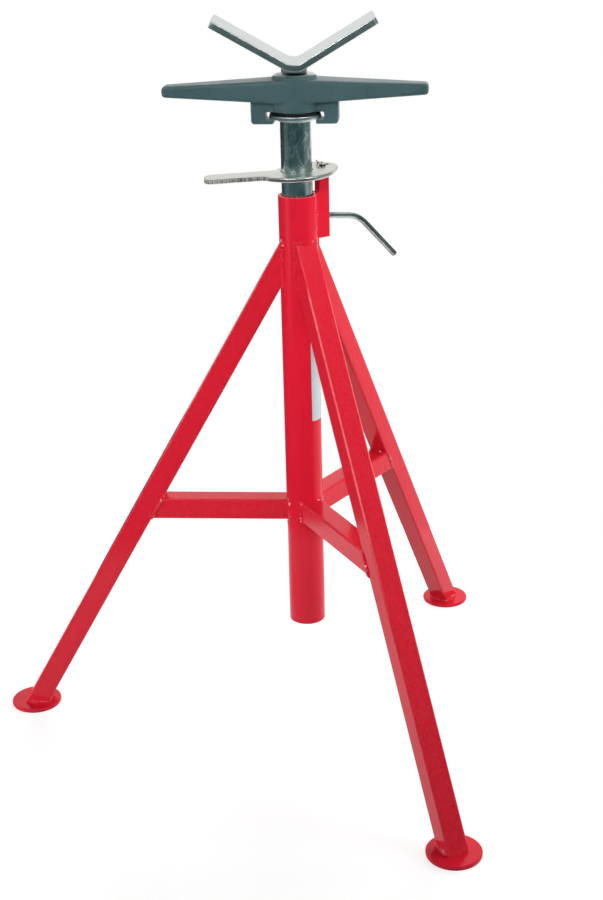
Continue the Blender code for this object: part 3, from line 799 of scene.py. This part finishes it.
def makeLockLever():
    half = lockLever["slotHalf"]
    near, far = lockLever["slotIn"], lockLever["slotOut"]
    slot = [(near, half), (far, half), (far, -half), (near, -half)]
    hole = arcPoints((0.0, 0.0), lockLever["hole"], 360.0, 0.0)[:-1]
    edge, holeEdge = lockLever["edge"], lockLever["holeEdge"]
    bm = roundedPlate(((leverOutline(), edge), (hole, holeEdge), (slot, holeEdge)), lockLever["thick"])
    droop = radians(lockLever["droop"])
    pivot = Vector(jointOf["lever_tilt"]["pos_m"])
    place = Matrix.Translation(pivot) @ Matrix.Rotation(atan2(lockAxis.y, lockAxis.x), 4, "Z")
    place = place @ Matrix.Rotation(-droop, 4, "Y")
    place = place @ Matrix.Translation((-pivot.xy.length / cos(droop), 0.0, 0.0))
    bm.transform(place)
    piece = addPiece("lockLeverPlate", bm, "lever", leverZinc)
    flatShading(piece)
    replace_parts(piece, "lock_lever")


clampRod = dict(
    start=0.0172, neck=0.0413, neckBack=0.003, neckOn=0.002, neckFall=0.0002,
    rod=0.0070, arm=0.0248, sag=8.0, bend=0.040, bendSteps=10,
    tailAngle=46.0, tail=0.0588, tailShares=(0.33, 0.66, 1.0), endRound=0.0009, sides=28,
)


def sweptRod(path, radius, sides, endRound):
    # a round bar along an open path, its ends eased
    bm = bmesh.new()
    rings = []
    spots = [path[0], path[0].lerp(path[1], endRound / (path[1] - path[0]).length)] + path[1:-1]
    spots += [path[-1].lerp(path[-2], endRound / (path[-1] - path[-2]).length), path[-1]]
    last = len(spots) - 1
    for i, spot in enumerate(spots):
        ahead = (spots[min(i + 1, last)] - spots[max(i - 1, 0)]).normalized()
        size = radius - endRound if i in (0, last) else radius
        rings.append(ringAround(bm, spot, lockAcross, lockAcross.cross(ahead).normalized(), size, sides))
    bridgeRings(bm, rings, capped=True)
    return bm


def clampPath():
    sag = radians(clampRod["sag"])
    fall = radians(clampRod["tailAngle"])
    neck, bend = clampRod["neck"], clampRod["bend"]
    flat = [(clampRod["start"], 0.0), (neck - clampRod["neckBack"], 0.0),
            (neck + clampRod["neckOn"], -clampRod["neckFall"])]
    bendX = neck + clampRod["arm"] * cos(sag)
    bendZ = -clampRod["arm"] * sin(sag)
    middleX = bendX - bend * sin(sag)
    middleZ = bendZ - bend * cos(sag)
    for i in range(clampRod["bendSteps"] + 1):
        turn = pi / 2 - sag - (fall - sag) * i / clampRod["bendSteps"]
        flat.append((middleX + bend * cos(turn), middleZ + bend * sin(turn)))
    endX, endZ = flat[-1]
    for share in clampRod["tailShares"]:
        reach = clampRod["tail"] * share
        flat.append((endX + reach * cos(fall), endZ - reach * sin(fall)))
    return [lockAxis * x + upBy(clampHeight + z) for x, z in flat]


def makeClampRod():
    bm = sweptRod(clampPath(), clampRod["rod"] / 2, clampRod["sides"], clampRod["endRound"])
    piece = addPiece("clampRod", bm, "clamp", clampZinc)
    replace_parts(piece, "clamp_screw")


def makeSplitPin():
    piece = addPiece("splitPin", cadCopy("cotter_pin"), "base", greasySteel, sharpAngle=60.0)
    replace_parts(piece, "cotter_pin")


makeLockPost()
makeLockLever()
makeClampRod()
makeSplitPin()
print("lock made")


# sliding tube with its flange

slidingTube = dict(
    wall=0.0032, rim=0.0006, segments=112, flangeRim=0.0014,
    bead=0.0026, beadLumps=0.14, beadOut=0.0004, beadDrop=0.0004, seed=31.0,
)


def makeSlidingTube():
    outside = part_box("inner_tube")[1].x
    rings = (("slidingTube", "inner_tube", "rim", "zinc_plate", tubeZinc),
             ("flangePlate", "tube_flange", "flangeRim", "zinc_plate", flangeZinc),
             ("thrustRing", "thrust_washer", "rim", "bare_steel", greasySteel))
    for name, node, edge, slotName, finish in rings:
        low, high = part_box(node)
        profile = ringProfile(outside - slidingTube["wall"], high.x, low.z, high.z, slidingTube[edge])
        piece = addPiece(name, turnedBody(profile, slidingTube["segments"]), "staff", finish)
        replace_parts(piece, node)
        flatShading(piece)
    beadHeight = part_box("tube_flange")[0].z - slidingTube["beadDrop"]
    path = [polar(outside + slidingTube["beadOut"], turn, beadHeight) for turn in allRound]
    body = beadBody(evenLoop(path), slidingTube["bead"], slidingTube["seed"], lumps=slidingTube["beadLumps"])
    bead = addPiece("flangeWeldBead", body, "staff", flangeZinc, smoothAll)
    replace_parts(bead, "flange_weld")


makeSlidingTube()
print("sliding tube made")


# turn handle

crossHandle = dict(voxel=0.0007, smoothShare=0.5, smoothSteps=3)


def makeCrossHandle():
    piece = addPiece("crossHandle", cadCopy("turn_handle"), "handle", castPaint, smoothAll)
    fuse = piece.modifiers.new("fused", "REMESH")
    fuse.mode = "VOXEL"
    fuse.voxel_size = crossHandle["voxel"]
    fuse.use_smooth_shade = True
    ease = piece.modifiers.new("eased", "SMOOTH")
    ease.factor = crossHandle["smoothShare"]
    ease.iterations = crossHandle["smoothSteps"]
    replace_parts(piece, "turn_handle")


makeCrossHandle()
print("turn handle made")


# jack screw and saddle

screwLow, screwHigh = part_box("jack_screw")
saddleLow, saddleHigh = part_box("v_saddle")
jackScrew = dict(
    crest=0.0125, root=0.0106, pitch=0.006, crestShare=0.36, flankShare=0.14,
    rise=0.00075, tip=0.003, sides=48, stemBottom=0.7683, stemEdge=0.0008, stemSink=0.0004,
    bead=0.0016, beadLumps=0.20, beadOut=0.0003, beadDrop=0.0004, seed=41.0,
)
saddleBar = dict(
    thick=0.007, edge=0.0010, leastEdge=0.0002, edgeSteps=4, corner=0.005,
    angle=30.0, bend=0.016, bendOuter=0.023, bendSteps=12, armSteps=6,
    tipCorner=(0.80, 0.60, 0.42), tipEdge=(1.4, 1.0, 0.6, 0.3, 0.1, 0.0),
)


def threadShare(turns):
    # crest, flank, root, flank over one pitch
    phase = turns % 1.0
    crest, flank = jackScrew["crestShare"], jackScrew["flankShare"]
    if phase < crest:
        return 1.0
    if phase < 0.5:
        return 1.0 - (phase - crest) / flank
    return max(0.0, (phase - 0.5 - crest) / flank)


def underSaddle(x):
    # height of the bar's underside at this distance from its middle
    lean = radians(saddleBar["angle"])
    edge = saddleBar["bendOuter"] * sin(lean)
    if abs(x) < edge:
        return saddleLow.z + saddleBar["bendOuter"] - sqrt(saddleBar["bendOuter"] ** 2 - x * x)
    rise = saddleBar["bendOuter"] * (1.0 - cos(lean))
    return saddleLow.z + rise + (abs(x) - edge) * tan(lean)


def makeJackScrew():
    bm = bmesh.new()
    root, sides, edge = (jackScrew[key] for key in ("root", "sides", "stemEdge"))
    stemBottom, stemRadius = jackScrew["stemBottom"], screwHigh.x
    turns = [360.0 * i / sides for i in range(sides)]
    rings = []
    height = screwLow.z
    while height < stemBottom:
        ease = min(1.0, (height - screwLow.z) / jackScrew["tip"])
        ring = []
        for i, turn in enumerate(turns):
            share = threadShare((height - screwLow.z) / jackScrew["pitch"] - i / sides)
            radius = root + (jackScrew["crest"] - root) * share * ease
            ring.append(bm.verts.new(polar(radius, turn, height)))
        rings.append(ring)
        height += jackScrew["rise"]
    for radius, level in ((root, 0.0), (stemRadius - edge, 0.0), (stemRadius, edge)):
        rings.append([bm.verts.new(polar(radius, turn, stemBottom + level)) for turn in turns])
    top = [polar(stemRadius, turn) for turn in turns]
    rings.append([bm.verts.new((s.x, s.y, underSaddle(s.x) + jackScrew["stemSink"])) for s in top])
    bridgeRings(bm, rings, capped=True)
    piece = addPiece("jackScrew", bm, "v_head", screwSteel, sharpAngle=30.0)
    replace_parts(piece, "jack_screw")
    piece.data.materials.append(saddleZinc)  # the stem is plated with the saddle
    for face in piece.data.polygons:
        if face.center.z > stemBottom + edge / 2:
            face.material_index = 1
    path = [polar(stemRadius + jackScrew["beadOut"], turn) for turn in allRound]
    path = [Vector((s.x, s.y, underSaddle(s.x) - jackScrew["beadDrop"])) for s in path]
    body = beadBody(evenLoop(path), jackScrew["bead"], jackScrew["seed"], lumps=jackScrew["beadLumps"])
    addPiece("saddleWeld", body, "v_head", saddleZinc, smoothAll)


def quarterIn(radius, distance):
    # how far a rounded corner has drawn in at a distance from the end
    left = max(0.0, radius - distance)
    return radius - sqrt(radius * radius - left * left)


def makeSaddleBar():
    # a flat bar bent into a V, lofted from tip to tip
    lean = radians(saddleBar["angle"])
    thick, edge, corner, bend = (saddleBar[key] for key in ("thick", "edge", "corner", "bend"))
    bendSteps, armSteps = saddleBar["bendSteps"], saddleBar["armSteps"]
    bendTop = saddleLow.z + thick + bend
    bendReach = bend * lean
    tipX = saddleHigh.x - thick * sin(lean)
    reach = bendReach + (tipX - bend * sin(lean)) / cos(lean)
    stations = [bendReach * i / bendSteps for i in range(bendSteps + 1)]
    stations += [bendReach + (reach - corner - bendReach) * i / armSteps for i in range(1, armSteps + 1)]
    stations += [reach - corner * share for share in saddleBar["tipCorner"]]
    stations += [reach - edge * share for share in saddleBar["tipEdge"]]
    stations = [-along for along in stations[:0:-1]] + stations
    bm = bmesh.new()
    rings = []
    for along in stations:
        toTip = reach - abs(along)
        half = (saddleHigh.y - saddleLow.y) / 2 - quarterIn(corner, toTip)
        inset = quarterIn(edge, toTip)
        ease = max(edge - inset, saddleBar["leastEdge"])
        outline = roundedBox((ease - half, half - ease), (inset + ease, thick - inset - ease), ease,
                             saddleBar["edgeSteps"])
        turn = min(abs(along) / bend, lean)
        straight = max(0.0, abs(along) - bendReach)
        side = -1.0 if along < 0.0 else 1.0
        ring = []
        for across, depth in outline:
            x = (bend + depth) * sin(turn) + straight * cos(lean)
            z = bendTop - (bend + depth) * cos(turn) + straight * sin(lean)
            ring.append(bm.verts.new((side * x, across, z)))
        rings.append(ring)
    bridgeRings(bm, rings, capped=True)
    piece = addPiece("saddleBar", bm, "v_head", saddleZinc)
    flatShading(piece)
    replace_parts(piece, "v_saddle")


makeJackScrew()
makeSaddleBar()
print("screw and saddle made")


# blank label on the base tube

tubeLabel = dict(
    start=-59.0, end=66.0, bottom=0.381, top=0.480, steps=48,
    lift=0.00005, thick=0.00018, corner=0.0012, borderStrips=(1, 2),
)


def makeTubeLabel():
    bm = bmesh.new()
    corner, steps = tubeLabel["corner"], tubeLabel["steps"]
    arcLength = radians(tubeLabel["end"] - tubeLabel["start"]) * tubeRadius
    middle = (tubeLabel["bottom"] + tubeLabel["top"]) / 2
    skins = []
    for lift in (tubeLabel["lift"], tubeLabel["thick"]):
        columns = []
        for i in range(steps + 1):
            along = arcLength * i / steps
            inset = max(0.0, corner - min(along, arcLength - along))
            drop = corner - sqrt(max(0.0, corner ** 2 - inset ** 2))
            half = (tubeLabel["top"] - tubeLabel["bottom"]) / 2 - drop
            spot = polar(tubeRadius + lift, tubeLabel["start"] + degrees(along / tubeRadius))
            columns.append([bm.verts.new((spot.x, spot.y, middle + way * half)) for way in (-1, 1)])
        skins.append(columns)
    inside, outside = skins
    for columns in skins:
        for i, (near, far) in enumerate(zip(columns, columns[1:])):
            strip = bm.faces.new((near[0], far[0], far[1], near[1]))
            strip.material_index = 1 if i in tubeLabel["borderStrips"] else 0
    for i in range(steps):
        for way in (0, 1):
            bm.faces.new((inside[i][way], inside[i + 1][way], outside[i + 1][way], outside[i][way]))
    for i in (0, -1):
        bm.faces.new((inside[i][0], inside[i][1], outside[i][1], outside[i][0]))
    addPiece("tubeLabel", bm, "base", labelVinyl).data.materials.append(labelBorder)


makeTubeLabel()
print("label made")


# studio: floor, backdrop, lamps and camera

studio = dict(
    photoHeight=900.0, focalPixels=1546.0, sensor=36.0, cameraPlace=(0.0, -1.6687, 0.99089),
    pitch=21.326, yaw=-0.081, roll=-1.43,
    floorRadius=0.56, floorSteps=96, floorGrey=0.34, floorWash=0.97, washScale=3.0,
    floorGlow=0.73, floorFade=(0.42, 0.55),
    skyLight=0.085, sky=(1.0, 1.0, 1.0),
    cardRadius=2.6, cardSteps=24, cardDim=0.8, cardWashScale=0.8,
    surround=(0.050, 0.070, 0.075), surroundDrop=0.01, surroundSpan=(105.0, 338.0),
    surroundSteps=72, ceiling=3.6, ceilingSteps=48,
)
# cards round the set, in degrees from +X, seen only in reflections
cards = {
    "cardFront": dict(start=-152.0, end=-32.0, low=-0.01, top=0.29, shade=(0.040, 0.092, 0.096)),
    "cardUpper": dict(start=-152.0, end=-32.0, low=0.29, top=3.6, shade=(0.085, 0.140, 0.145)),
    "cardRight": dict(start=-32.0, end=42.0, low=-0.01, top=2.6, shade=(0.160, 0.220, 0.225)),
    "cardLeft": dict(start=172.0, end=208.0, low=-0.01, top=2.6, shade=(0.130, 0.190, 0.190)),
    "cardLeftBack": dict(start=97.0, end=172.0, low=-0.01, top=0.9, shade=(0.040, 0.062, 0.060)),
}
lamps = {
    "upperFront": dict(place=(0.0, -1.60, 1.50), size=0.5, power=1.29, aim=(0.0, 0.0, 0.75), spread=50.0),
    "midFront": dict(place=(-0.20, -1.80, 0.80), size=0.6, power=0.62, aim=(0.0, 0.0, 0.45), spread=50.0),
    "lowLeft": dict(place=(-1.30, -0.60, 0.35), size=0.6, power=5.8, aim=(-0.2, 0.0, 0.30), spread=120.0),
    "sideRight": dict(place=(1.60, -0.40, 0.90), size=0.9, power=8.6, aim=(0.0, 0.0, 0.45), spread=120.0),
    "rightBack": dict(place=(1.60, 0.60, 0.90), size=0.9, power=7.5, aim=(0.0, 0.0, 0.40), spread=120.0),
    "backSoft": dict(place=(0.35, 1.45, 1.60), size=1.0, power=19.0, aim=(0.0, 0.0, 0.40), spread=160.0),
    "backLeft": dict(place=(-0.90, 1.50, 0.50), size=0.8, power=4.4, aim=(0.0, 0.0, 0.30), spread=140.0),
}
# lamps that show only as glints on welds, edges and bright metal
glints = {
    "glintRight": dict(place=(1.05, -1.30, 2.10), size=0.60, power=13.0, aim=(0.0, 0.0, 0.60)),
    "glintLeft": dict(place=(-0.75, -1.25, 2.10), size=0.70, power=12.0, aim=(0.0, 0.0, 0.60)),
}


def seenWhite(tree):
    # what the camera, mirrors and glass see, but not what lights the stand
    paths = addNode(tree, "LightPath").outputs
    mirrored = combine(tree, "MAXIMUM", paths["Is Glossy Ray"], paths["Is Transmission Ray"])
    return combine(tree, "MAXIMUM", paths["Is Camera Ray"], mirrored)


def addStage(name, bm, material):
    made = addObject(name, meshFrom(name, bm, material))
    return made


def makeFloor():
    made, tree, shader = startMaterial("paleFloor")
    tree.nodes.remove(shader)
    coords = pieceCoords(tree)
    wash = remap(tree, noiseField(tree, coords, studio["washScale"], detail=2.0))
    grey = studio["floorGrey"]
    colour = mixColour(tree, wash, (grey,) * 3, (grey * studio["floorWash"],) * 3)
    matte = addNode(tree, "BsdfDiffuse", {"Color": colour}).outputs["BSDF"]
    # the floor turns plain white towards its rim
    out = addNode(tree, "VectorMath", {0: coords}, operation="LENGTH").outputs["Value"]
    level = remap(tree, out, studio["floorFade"], (studio["floorGlow"], 1.0))
    strength = times(tree, seenWhite(tree), level)
    glow = addNode(tree, "Emission", {"Color": (1.0, 1.0, 1.0, 1.0), "Strength": strength})
    both = addNode(tree, "AddShader", {0: matte, 1: glow.outputs["Emission"]})
    plug(tree, tree.nodes["Material Output"], {"Surface": both.outputs["Shader"]})
    bm = bmesh.new()
    bmesh.ops.create_circle(bm, cap_ends=True, segments=studio["floorSteps"], radius=studio["floorRadius"])
    addStage("studioFloor", bm, made)


def makeSky():
    world = bpy.data.worlds.new("whiteStudio")
    world.use_nodes = True
    tree = world.node_tree
    level = remap(tree, seenWhite(tree), (0.0, 1.0), (studio["skyLight"], 1.0))
    plug(tree, tree.nodes["Background"], {"Color": (*studio["sky"], 1.0), "Strength": level})
    scene.world = world


def addCard(name, bm, shade):
    made, tree, shader = startMaterial(name)
    tree.nodes.remove(shader)
    wash = noiseField(tree, pieceCoords(tree), studio["cardWashScale"], detail=2.0)
    dim = tuple(studio["cardDim"] * part for part in shade)
    glow = addNode(tree, "Emission", {"Color": mixColour(tree, wash, dim, shade), "Strength": 1.0})
    plug(tree, tree.nodes["Material Output"], {"Surface": glow.outputs["Emission"]})
    card = addStage(name, bm, made)
    card.visible_camera = False
    card.visible_diffuse = False
    card.visible_shadow = False


def arcStrip(start, end, steps, rims):
    # a strip between two arcs, each with its radius and height
    bm = bmesh.new()
    turns = [start + (end - start) * i / steps for i in range(steps + 1)]
    near, far = [[bm.verts.new(polar(radius, turn, height)) for turn in turns] for radius, height in rims]
    for i in range(steps):
        bm.faces.new((near[i], near[i + 1], far[i + 1], far[i]))
    return bm


def makeCards():
    radius, steps = studio["cardRadius"], studio["ceilingSteps"]
    for name, look in cards.items():
        rims = ((radius, look["low"]), (radius, look["top"]))
        addCard(name, arcStrip(look["start"], look["end"], studio["cardSteps"], rims), look["shade"])
    rims = ((studio["floorRadius"], -studio["surroundDrop"]), (radius, -studio["surroundDrop"]))
    bm = arcStrip(*studio["surroundSpan"], studio["surroundSteps"], rims)
    addCard("cardSurround", bm, studio["surround"])
    bm = bmesh.new()
    bm.faces.new([bm.verts.new(polar(radius, 360.0 * i / steps, studio["ceiling"])) for i in range(steps)])
    addCard("cardCeiling", bm, studio["surround"])


def addLamp(name, look):
    light = bpy.data.lights.new(name, "AREA")
    light.shape = "DISK"
    light.size = look["size"]
    light.energy = look["power"]
    lamp = addObject(name, light)
    lamp.location = look["place"]
    lamp.rotation_euler = (Vector(look["aim"]) - lamp.location).to_track_quat("-Z", "Y").to_euler()
    return lamp


def makeLamps():
    for name, look in lamps.items():
        lamp = addLamp(name, look)
        lamp.data.spread = radians(look["spread"])
        lamp.visible_glossy = False  # the white room is what the paint mirrors
    for name, look in glints.items():
        addLamp(name, look).visible_diffuse = False


def makeCamera():
    pitch, yaw, roll = (radians(studio[key]) for key in ("pitch", "yaw", "roll"))
    ahead = Vector((sin(yaw) * cos(pitch), cos(yaw) * cos(pitch), -sin(pitch)))
    right = Vector((cos(yaw), -sin(yaw), 0.0))
    upward = right.cross(ahead)
    side = right * cos(roll) + upward * sin(roll)
    head = upward * cos(roll) - right * sin(roll)
    lens = bpy.data.cameras.new("photoLens")
    lens.sensor_width = studio["sensor"]
    lens.lens = lens.sensor_width * studio["focalPixels"] / studio["photoHeight"]
    camera = addObject("photoCamera", lens)
    turn = Matrix((side, head, -ahead)).transposed().to_4x4()
    turn.translation = studio["cameraPlace"]
    camera.matrix_world = turn
    scene.camera = camera
    scene.view_settings.view_transform = "Standard"


makeFloor()
makeSky()
makeCards()
makeLamps()
makeCamera()
print("studio made")
